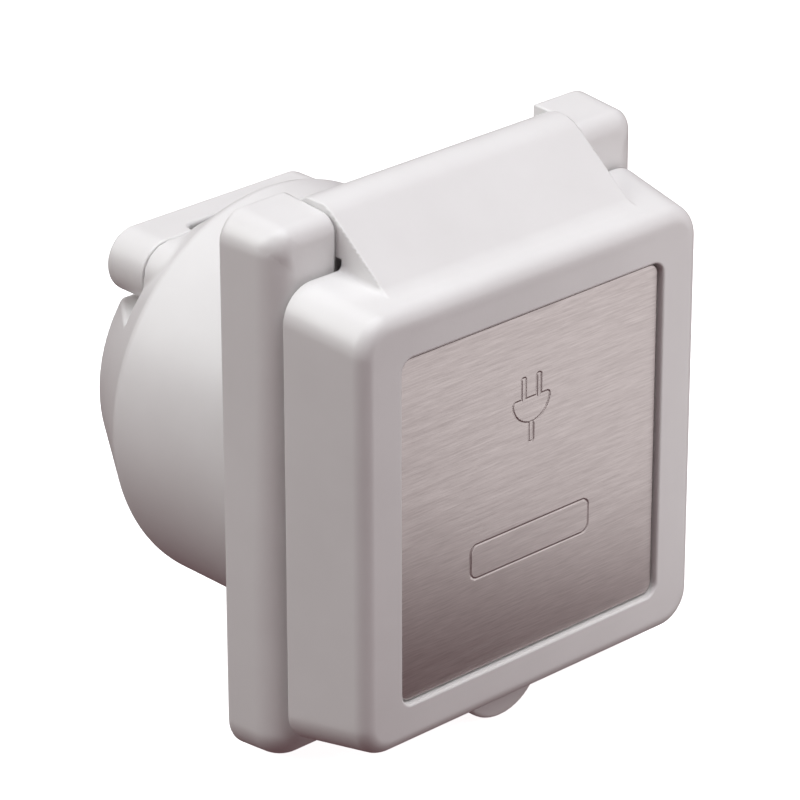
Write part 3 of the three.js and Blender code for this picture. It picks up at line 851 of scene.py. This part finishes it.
def finish_hidden_nodes():
    """The CAD shapes of these two are right as they are, so they only take the rubber material."""
    for name in ("panel_gasket", "collar_seal"):
        node = frame["nodes"][name]
        node.data.materials.clear()
        node.data.materials.append(materials["black_rubber"])


# ---------------------------------------------------------------- stage, light and camera


def make_stage():
    """A plain pale floor that the camera sees and that throws no light back onto the object."""
    low = cad_box[0].z - 0.2 * MM
    half = 3.0
    mesh = bpy.data.meshes.new("floor")
    corners = [(-half, -half, low), (half, -half, low), (half, half, low), (-half, half, low)]
    mesh.from_pydata(corners, [], [(0, 1, 2, 3)])
    floor = bpy.data.objects.new("floor", mesh)
    bpy.context.scene.collection.objects.link(floor)
    tree, shader, place = new_material("pale_floor", 0.9)
    coloured(tree, shader, noise(tree, place, 20, 2), (0.9, 0.9, 0.9), (0.91, 0.91, 0.91))
    shader.inputs["Specular IOR Level"].default_value = 0
    shader.inputs["Emission Color"].default_value = (1, 1, 1, 1)
    shader.inputs["Emission Strength"].default_value = 0.9
    mesh.materials.append(materials["pale_floor"])
    floor.visible_diffuse = False
    floor.visible_glossy = False
    floor.visible_shadow = False


def soft_light(name, place, size, energy, colour=(1, 1, 1)):
    """A square softbox, facing the middle of the object."""
    data = bpy.data.lights.new(name, "AREA")
    data.shape = "SQUARE"
    data.size = size
    data.energy = energy
    data.color = colour
    light = bpy.data.objects.new(name, data)
    bpy.context.scene.collection.objects.link(light)
    light.location = place
    light.visible_camera = False
    light.rotation_mode = "QUATERNION"
    light.rotation_quaternion = (-Vector(place)).to_track_quat("-Z", "Y")


def make_lights():
    """A dim reddish surround, three softboxes and a small card that brightens the plate."""
    world = bpy.data.worlds.new("studio")
    bpy.context.scene.world = world
    world.use_nodes = True
    background = world.node_tree.nodes["Background"]
    background.inputs["Color"].default_value = (1, 0.57, 0.61, 1)
    background.inputs["Strength"].default_value = 0.12
    soft_light("overhead", (0.0, -0.1, 1.0), 1.0, 7.5, (0.93, 0.97, 1))
    soft_light("key", (0.1, -0.7, 1.0), 1.0, 4.2)
    soft_light("behind_left", (-0.9, 0.5, 0.7), 0.8, 7.6, (0.96, 1, 0.98))
    soft_light("plate_card", (0.1, -0.13, 0.003), 0.18, 0.085)


def make_camera():
    """A long lens from the front left and above. Its angles, in degrees, its place, in metres, and
    its focal length are those at which the model's straight edges fall on the photograph's."""
    azimuth, elevation, roll = (math.radians(a) for a in (-43.22, 24.747, -0.102))
    back = Vector((math.sin(azimuth) * math.cos(elevation), -math.cos(azimuth) * math.cos(elevation),
                   math.sin(elevation)))
    right = (-back).cross(Vector((0, 0, 1))).normalized()
    up = right.cross(-back)
    level_right = right * math.cos(roll) + up * math.sin(roll)
    level_up = up * math.cos(roll) - right * math.sin(roll)
    data = bpy.data.cameras.new("camera")
    data.sensor_width = 36
    data.lens = 205.53
    data.clip_start = 0.05
    camera = bpy.data.objects.new("camera", data)
    bpy.context.scene.collection.objects.link(camera)
    camera.matrix_world = Matrix.Translation((-0.49797, -0.52711, 0.34199)) @ Matrix(
        (level_right, level_up, back)).transposed().to_4x4()
    bpy.context.scene.camera = camera


# ---------------------------------------------------------------- the whole

make_camera()
make_lights()
make_stage()
make_front_housing()
make_plug_well()
make_rear_enclosure()
make_cord_clamp_bar()
make_lid()
make_trim_plate()
make_threaded_collar()
make_lid_gasket()
make_contact_carrier()
make_blades()
make_terminal_lugs()
make_screws()
make_terminal_screws()
make_hinge_pin()
finish_hidden_nodes()

bpy.context.scene.view_settings.view_transform = "Standard"
